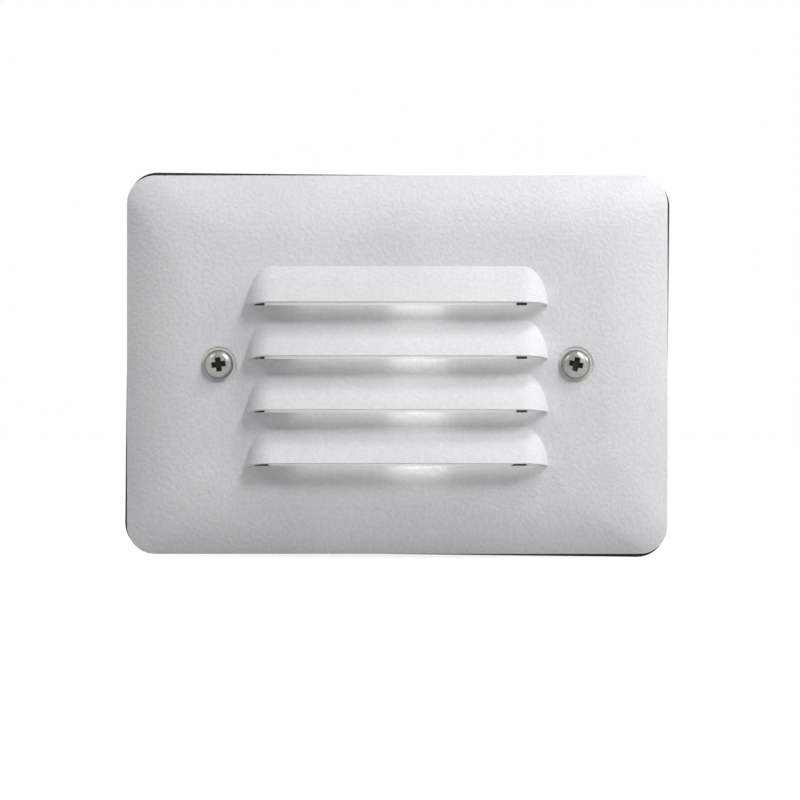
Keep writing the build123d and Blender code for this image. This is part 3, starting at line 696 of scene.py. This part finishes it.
def makeConnectors():
    size = connector
    edgeCount = size["ribs"] * 4
    drawn = 1 - size["ribDepth"]
    whole = bmesh.new()
    for side in (-1, 1):
        cap = bmesh.new()
        bmesh.ops.create_cone(
            cap, cap_ends=True, segments=edgeCount, radius1=size["mouth"], radius2=size["tip"],
            depth=size["length"], matrix=Matrix.Translation((0, 0, size["length"] / 2)),
        )
        # every other pair of edges is drawn in, and stops short of the mouth's collar
        for height in (size["collar"], size["ribStart"]):
            cutPlane(cap, (0, 0, height), (0, 0, 1))
        grooves = []
        for v in cap.verts:
            angle = Vector((v.co.x, v.co.y)).angle_signed(Vector((1, 0)))
            pastCollar = v.co.z > (size["collar"] + size["ribStart"]) / 2
            if pastCollar and round(angle / (2 * pi) * edgeCount) % 4 in (0, 1):
                grooves.append(v)
        bmesh.ops.scale(cap, vec=(drawn, drawn, 1), verts=grooves)
        cap = combine(cap, cylinderShape(size["bore"], -1, size["boreDepth"]), "DIFFERENCE")
        place = Matrix.Translation((size["start"], -size["level"], side * size["z"]))
        addShape(whole, cap, place @ Matrix.Rotation(radians(90), 4, "Y"))
    newPiece(
        whole, "ribbedConnectors", "root", "connectorPlastic", ["wire_connectors"],
        softEdge=size["softEdge"],
    )


makeConnectors()

# Filament: a coil between its two wires
filament = {
    "x": 5.0, "level": -19.0, "radius": 0.34, "wire": 0.085, "pitch": 0.27, "span": 5.6,
    "wireSides": 7, "stepsPerTurn": 14,
}


def makeFilament():
    size = filament
    bm = bmesh.new()
    turns = size["span"] / size["pitch"]
    ring = bmesh.ops.create_circle(bm, segments=size["wireSides"], radius=size["wire"])["verts"]
    start = Matrix.Translation((size["radius"], 0, -size["span"] / 2)) @ Matrix.Rotation(radians(90), 4, "X")
    bmesh.ops.transform(bm, matrix=start, verts=ring)
    bmesh.ops.spin(
        bm, geom=bm.verts[:] + bm.edges[:], axis=(0, 0, 1), cent=(0, 0, 0),
        dvec=(0, 0, size["pitch"] / size["stepsPerTurn"]), steps=int(turns * size["stepsPerTurn"]),
        angle=2 * pi * turns,
    )
    bmesh.ops.holes_fill(bm, edges=[edge for edge in bm.edges if edge.is_boundary], sides=0)
    bmesh.ops.recalc_face_normals(bm, faces=bm.faces)
    bmesh.ops.translate(bm, vec=(size["x"], -size["level"], 0), verts=bm.verts)
    newPiece(bm, "filamentCoil", "lamp", "tungsten", ["lamp_filament"])


makeFilament()
print("small parts made")

# Lens gasket: a narrow soft frame that sits a little to the left
lensGasket = {
    "width": 64.0, "height": 51.2, "corner": 3.0, "back": 4.75, "front": 5.85,
    "windowWidth": 59.0, "windowHeight": 47.6, "windowCorner": 2.0, "shift": -1.6, "softEdge": 0.2,
}


def makeLensGasket():
    size = lensGasket
    bm = bmesh.new()
    outer = (size["width"] / 2, size["height"] / 2, size["corner"])
    window = (size["windowWidth"] / 2, size["windowHeight"] / 2, size["windowCorner"])
    outerBack, outerFront, innerBack, innerFront = [
        outlineRing(bm, *side, level, False)
        for side in (outer, window) for level in (size["back"], size["front"])
    ]
    bmesh.ops.bridge_loops(bm, edges=outerBack + outerFront)
    bmesh.ops.bridge_loops(bm, edges=innerBack + innerFront)
    # both flat faces, filled between their two loops
    for edges in (outerBack + innerBack, outerFront + innerFront):
        bmesh.ops.triangle_fill(bm, edges=edges, use_beauty=True)
    bmesh.ops.translate(bm, vec=(size["shift"], 0, 0), verts=bm.verts)
    bmesh.ops.recalc_face_normals(bm, faces=bm.faces)
    newPiece(
        bm, "siliconeGasket", "cover", "blackSilicone", ["lens_gasket"],
        softEdge=size["softEdge"],
    )


makeLensGasket()

# Thread in the rear conduit entry, from inside the box to its back
entryThread = {
    "bore": 9.9, "depth": 0.55, "intoWall": 0.05, "pitch": 1.814, "ridgeShare": 0.46, "start": 43.5,
    "turns": 4.1, "stepsPerTurn": 48,
}


def makeEntryThread():
    size = entryThread
    bm = bmesh.new()
    spinRidge(
        bm, size["bore"] - size["depth"], size["bore"] + size["intoWall"],
        size["pitch"] * size["ridgeShare"], size["pitch"], 0, size["turns"], size["stepsPerTurn"],
    )
    bmesh.ops.transform(bm, matrix=facing(0, -size["start"], 0, back=True), verts=bm.verts)
    newPiece(bm, "rearEntryThread", "root", "castAluminium")


makeEntryThread()

# These CAD pieces get their edges eased on a merged copy, and the others keep their own mesh.
# In each row: name, body, finish, slot and the width of the soft edge in millimetres
eased = {
    "housing": ("castHousing", "root", "castAluminium", "cast_aluminium", 0.45),
    "closure_plug": ("entryPlug", "root", "plugAluminium", "plug_aluminium", 0.25),
    "reflector": ("enamelTray", "root", "whiteEnamel", "white_enamel", 0.2),
    "socket_bracket": ("formedBracket", "root", "zincPlatedSteel", "zinc_plated_steel", 0.15),
    "socket_body": ("ceramicSocket", "root", "whiteCeramic", "white_ceramic", 0.25),
    "lens_retainer": ("lensFrame", "cover", "zincPlatedSteel", "zinc_plated_steel", 0.12),
    "faceplate_gasket": ("foamGasket", "root", "blackFoamRubber", "black_foam_rubber", 0.25),
    "lens": ("pressedLens", "cover", "frostedGlass", "frosted_glass", 0.25),
}
kept = {
    "left_seal_washer": "paleNylon", "right_seal_washer": "paleNylon",
    "socket_contacts": "springBrass", "socket_leads": "leadSleeving", "lamp_bulb": "lampGlass",
    "lamp_wires": "lampWire",
}


def easeCopy(node, name, body, finish, slot, width):
    bm = bmesh.new()
    bm.from_mesh(nodes[node].data)
    bmesh.ops.remove_doubles(bm, verts=bm.verts, dist=0.000002)
    bmesh.ops.dissolve_limit(
        bm, angle_limit=radians(0.6), verts=bm.verts, edges=bm.edges, delimit={"NORMAL"}
    )
    newPiece(bm, name, body, finish, [node], softEdge=width, toMetres=False)


for node, settings in eased.items():
    easeCopy(node, *settings)
for node, finish in kept.items():
    slots = nodes[node].material_slots
    if len(slots):
        for each in slots:
            each.material = finishes[finish]
    else:
        nodes[node].data.materials.append(finishes[finish])
print("carried pieces finished")

# Camera, straight on
view = {
    "distance": 0.85, "centre": (0.00064, -0.0083), "frameWidth": 0.1881, "rimLevel": 0.0023,
    "sensor": 36.0, "nearest": 0.01, "farthest": 20.0,
}
camera = bpy.data.objects.new("camera", bpy.data.cameras.new("camera"))
scene.collection.objects.link(camera)
camera.location = (view["centre"][0], -view["distance"], view["centre"][1])
camera.rotation_euler = (radians(90), 0, 0)
camera.data.sensor_width = view["sensor"]
camera.data.lens = view["sensor"] * (view["distance"] - view["rimLevel"]) / view["frameWidth"]
camera.data.clip_start, camera.data.clip_end = view["nearest"], view["farthest"]
scene.camera = camera

# Lights: soft ones from the right and above, close enough to fall off over the plate
lamps = {
    "key": {"place": (0.40, -0.60, 0.50), "size": 0.245, "power": 2.45, "tint": (1.0, 0.985, 1.01)},
    "rake": {"place": (0.55, -0.15, 0.25), "size": 0.175, "power": 0.85, "tint": (1.0, 0.98, 1.02)},
    "overhead": {"place": (0.15, -0.15, 0.28), "size": 0.10, "power": 0.32, "tint": (1.0, 1.0, 1.0)},
    "fill": {"place": (-0.30, -0.30, 0.30), "size": 0.145, "power": 0.31, "tint": (1.0, 1.0, 1.0)},
    "behindRight": {"place": (0.45, 0.60, 0.35), "size": 0.30, "power": 1.3, "tint": (1.0, 1.0, 1.0)},
    "behindLeft": {"place": (-0.55, 0.45, 0.30), "size": 0.30, "power": 1.0, "tint": (1.0, 1.0, 1.0)},
}


def areaLight(name, shape, size, power, tint, place, turned):
    data = bpy.data.lights.new(name, "AREA")
    data.shape, data.energy, data.color = shape, power, tint
    data.size, data.size_y = size
    holder = bpy.data.objects.new(name, data)
    holder.location = place
    holder.rotation_euler = turned
    holder.visible_camera = False
    scene.collection.objects.link(holder)
    return holder


for name, lamp in lamps.items():
    aim = (-Vector(lamp["place"])).to_track_quat("-Z", "Y").to_euler()
    areaLight(name, "DISK", (lamp["size"],) * 2, lamp["power"], lamp["tint"], lamp["place"], aim)

# The lamp's light that leaks out under each lip: a wide strip and a hot spot in front of the filament,
# in metres and watts
leak = {
    "x": 0.005, "level": 0.0102, "belowLip": 0.0003, "tilt": 25,
    "strips": {"wide": (0.058, 0.0006), "spot": (0.011, 0.0008)}, "tint": (1.0, 0.98, 0.97),
    "powers": {  # one for each lip, from the top down
        "wide": (0.00022, 0.00023, 0.00024, 0.00027), "spot": (0.00016, 0.00017, 0.00021, 0.00024),
    },
}
for i, lip in enumerate(louvres["lips"]):
    place = (leak["x"], -leak["level"], lip * 0.001 - leak["belowLip"])
    for name, strip in leak["strips"].items():
        holder = areaLight(
            name + "Leak" + str(i + 1), "RECTANGLE", strip, leak["powers"][name][i], leak["tint"],
            place, (radians(90 - leak["tilt"]), 0, 0),
        )
        holder.visible_glossy = False
        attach(holder, "cover")

# Room: a dim even world, and a pale floor just under the part
room = {
    "ambient": (0.195, 0.20, 0.203, 1), "floor": (0.45, 0.45, 0.45), "floorRoughness": 0.8,
    "floorGlow": 0.80, "floorHalf": 3.0, "floorDrop": 0.0002,
}


def seenDirectly(tree):
    # 1 for what the camera sees, straight or in gloss or glass
    ray = placeNode(tree, "ShaderNodeLightPath", {}).outputs
    rays = {0: ray["Is Camera Ray"], 1: ray["Is Glossy Ray"]}
    firstTwo = placeNode(tree, "ShaderNodeMath", rays, operation="ADD").outputs[0]
    rays = {0: firstTwo, 1: ray["Is Transmission Ray"]}
    return placeNode(tree, "ShaderNodeMath", rays, operation="ADD", use_clamp=True).outputs[0]


def makeRoom():
    world = bpy.data.worlds.new("room")
    world.use_nodes = True
    scene.world = world
    tree = world.node_tree
    tree.nodes.clear()
    plain = placeNode(tree, "ShaderNodeBackground", {"Color": room["ambient"], "Strength": 1.0}).outputs[0]
    white = placeNode(tree, "ShaderNodeBackground", {"Color": (1, 1, 1, 1), "Strength": 1.0}).outputs[0]
    mixed = placeNode(tree, "ShaderNodeMixShader", {0: seenDirectly(tree), 1: plain, 2: white}).outputs[0]
    placeNode(tree, "ShaderNodeOutputWorld", {"Surface": mixed})

    bm = bmesh.new()
    bmesh.ops.create_grid(bm, x_segments=1, y_segments=1, size=room["floorHalf"])
    bmesh.ops.translate(bm, vec=(0, 0, cadBox[0][2] - room["floorDrop"]), verts=bm.verts)
    mesh = bpy.data.meshes.new("floor")
    bm.to_mesh(mesh)
    bm.free()
    floor = bpy.data.objects.new("floor", mesh)
    scene.collection.objects.link(floor)
    material, tree, shader = startMaterial("palePaper", room["floor"], room["floorRoughness"])
    shader.inputs["Emission Color"].default_value = (1, 1, 1, 1)
    factors = {0: seenDirectly(tree), 1: room["floorGlow"]}
    lift = placeNode(tree, "ShaderNodeMath", factors, operation="MULTIPLY").outputs[0]
    tree.links.new(lift, shader.inputs["Emission Strength"])
    # clear when seen from below, so that the underside can be looked at
    below = placeNode(tree, "ShaderNodeNewGeometry", {}).outputs["Backfacing"]
    clear = placeNode(tree, "ShaderNodeBsdfTransparent", {}).outputs[0]
    both = placeNode(tree, "ShaderNodeMixShader", {0: below, 1: shader.outputs[0], 2: clear}).outputs[0]
    tree.links.new(both, tree.nodes["Material Output"].inputs["Surface"])
    mesh.materials.append(material)


makeRoom()
scene.view_settings.view_transform = "Standard"
print("room made")
